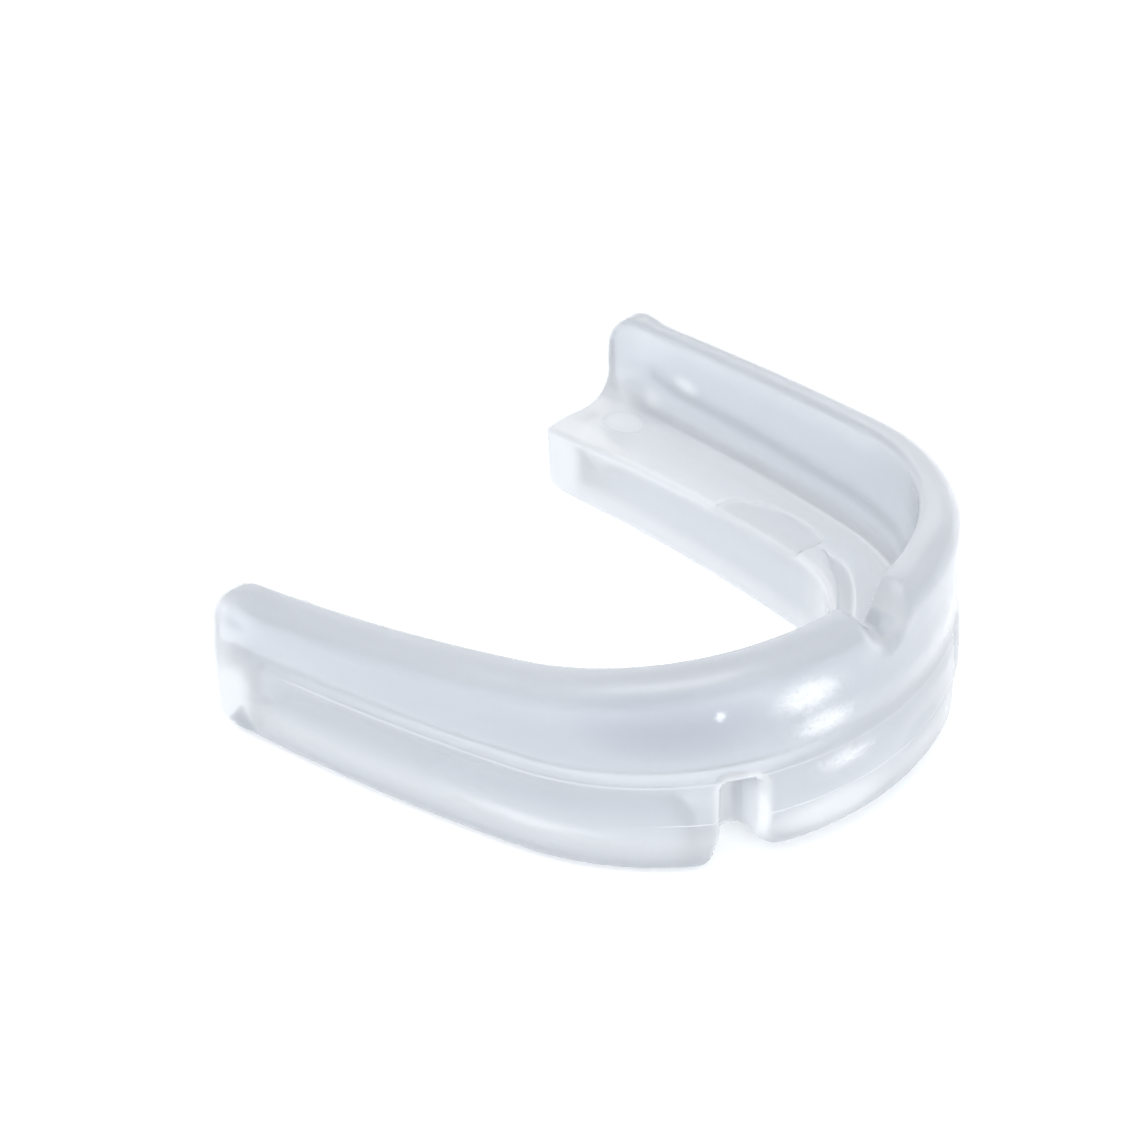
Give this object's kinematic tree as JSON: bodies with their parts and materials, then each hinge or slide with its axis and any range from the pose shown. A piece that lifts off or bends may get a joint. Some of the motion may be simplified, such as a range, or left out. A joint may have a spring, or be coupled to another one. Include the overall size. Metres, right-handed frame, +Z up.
{
  "type": "boil-and-bite mouthguard",
  "caption": "U-shaped clear mouthguard with a raised lip wall, a flat bite shelf, a crease round its front and a tooth channel underneath.",
  "frame": {"origin": "under the middle of the bounding box, on the plane that the lower rims rest on", "axes": "+Z up through the lip wall, -Y towards the lips, +Y towards the open ends of the arms, symmetric in X"},
  "size_m": [0.062, 0.058, 0.0234],
  "materials": {
    "clear_eva": "clear, glossy moulded EVA with a faint blue tint"
  },
  "bodies": {
    "root": {"guard_body": "clear_eva"}
  },
  "joints": []
}
